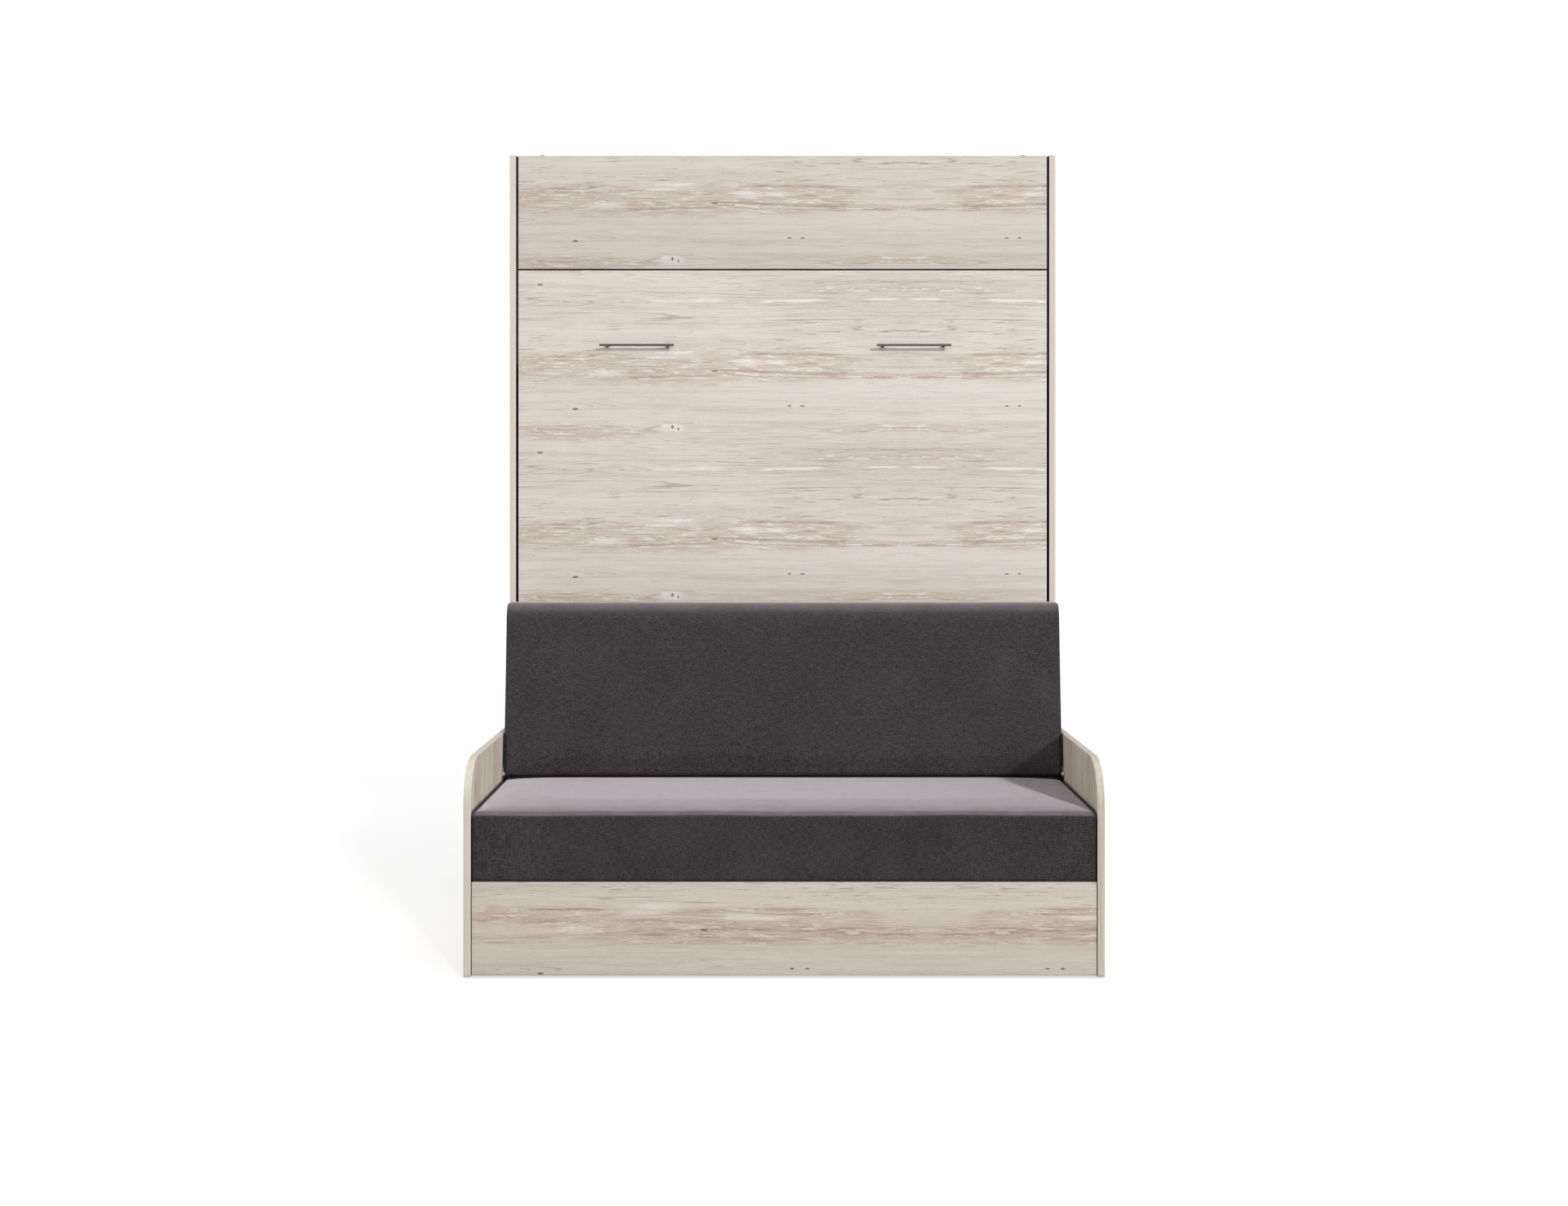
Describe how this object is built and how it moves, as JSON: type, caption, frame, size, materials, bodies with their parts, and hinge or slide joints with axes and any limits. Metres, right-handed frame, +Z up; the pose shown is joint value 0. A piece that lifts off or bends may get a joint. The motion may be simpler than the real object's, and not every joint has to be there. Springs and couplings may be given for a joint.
{
  "type": "wall bed with sofa",
  "caption": "Upright folding wall bed in a cabinet, with a fixed sofa in front whose back folds flat as the bed comes down onto a swing-out foot leg.",
  "frame": {"origin": "on the floor, under the middle of the outline seen from above", "axes": "+Z up, +X to the right seen from the front, +Y towards the wall; the front faces -Y"},
  "size_m": [1.58, 1.18, 2.18],
  "materials": {
    "laminate": "whitewashed pine-look laminate, satin",
    "upholstery": "anthracite linen-like weave",
    "steel": "satin steel",
    "dark_steel": "black powder coat",
    "black_plastic": "black moulded plastic",
    "plywood": "clear birch plywood",
    "hardboard": "white-faced hardboard",
    "ticking": "quilted off-white mattress cover",
    "webbing": "dark woven strap"
  },
  "bodies": {
    "base": {"left_side_panel": "laminate", "right_side_panel": "laminate", "top_panel": "laminate", "rear_top_rail": "laminate", "rear_bottom_rail": "laminate", "lower_front_panel": "laminate", "back_panel": "hardboard", "left_rear_glide": "black_plastic", "right_rear_glide": "black_plastic", "left_pivot_plate": "steel", "right_pivot_plate": "steel", "left_strut_bracket": "steel", "right_strut_bracket": "steel", "left_arm": "laminate", "right_arm": "laminate", "left_arm_glide": "black_plastic", "right_arm_glide": "black_plastic", "seat_apron": "laminate", "seat_platform": "laminate", "sofa_rear_rail": "laminate", "seat_centre_support": "laminate", "seat_cushion": "upholstery", "left_backrest_pin": "steel", "right_backrest_pin": "steel"},
    "backrest": {"back_cushion": "upholstery", "backrest_board": "plywood", "left_backrest_plate": "steel", "right_backrest_plate": "steel"},
    "bed": {"bed_front_panel": "laminate", "left_side_rail": "laminate", "right_side_rail": "laminate", "head_rail": "laminate", "foot_rail": "laminate", "centre_rail": "plywood", "left_slat_ledge": "plywood", "right_slat_ledge": "plywood", "slat_roll": "plywood", "mattress": "ticking", "mattress_strap": "webbing", "left_handle": "steel", "right_handle": "steel", "left_bed_pivot_plate": "steel", "right_bed_pivot_plate": "steel", "left_pivot_bush": "black_plastic", "right_pivot_bush": "black_plastic", "left_rod_stud": "steel", "right_rod_stud": "steel", "left_leg_pin": "steel", "right_leg_pin": "steel"},
    "leg": {"leg_front_band": "laminate", "left_leg_bar": "dark_steel", "right_leg_bar": "dark_steel", "leg_cross_tube": "dark_steel", "left_leg_pad": "black_plastic", "right_leg_pad": "black_plastic"},
    "left_cylinder": {"left_strut_cylinder": "dark_steel"},
    "right_cylinder": {"right_strut_cylinder": "dark_steel"},
    "left_rod": {"left_strut_rod": "steel"},
    "right_rod": {"right_strut_rod": "steel"}
  },
  "joints": [
    {"name": "bed_fold", "type": "hinge", "parent": "base", "child": "bed", "pos_m": [0, 0.166, 0.6071], "axis": [1, 0, 0], "range_deg": [0, 90]},
    {"name": "leg_fold", "type": "hinge", "parent": "bed", "child": "leg", "pos_m": [0, 0.16, 1.5804], "axis": [1, 0, 0], "range_deg": [0, 90]},
    {"name": "backrest_fold", "type": "hinge", "parent": "base", "child": "backrest", "pos_m": [0, -0.11, 0.4248], "axis": [1, 0, 0], "range_deg": [0, 96.41]},
    {"name": "left_strut_swing", "type": "hinge", "parent": "base", "child": "left_cylinder", "pos_m": [-0.7482, 0.316, 0.9371], "axis": [1, 0, 0], "range_deg": [0, 18.76]},
    {"name": "right_strut_swing", "type": "hinge", "parent": "base", "child": "right_cylinder", "pos_m": [0.7482, 0.316, 0.9371], "axis": [1, 0, 0], "range_deg": [0, 18.76]},
    {"name": "left_strut_stroke", "type": "slide", "parent": "left_cylinder", "child": "left_rod", "axis": [0, 0.2927, 0.9562], "range_m": [0, 0.1823]},
    {"name": "right_strut_stroke", "type": "slide", "parent": "right_cylinder", "child": "right_rod", "axis": [0, 0.2927, 0.9562], "range_m": [0, 0.1823]}
  ],
  "couplings": [
    {"joint": "leg_fold", "follows": "bed_fold", "ratio": 1},
    {"joint": "backrest_fold", "follows": "bed_fold", "ratio": 1.0711},
    {"joint": "left_strut_swing", "follows": "bed_fold", "ratio": 0.20841},
    {"joint": "right_strut_swing", "follows": "bed_fold", "ratio": 0.20841},
    {"joint": "left_strut_stroke", "follows": "bed_fold", "m_per_rad": 0.11605},
    {"joint": "right_strut_stroke", "follows": "bed_fold", "m_per_rad": 0.11605}
  ]
}
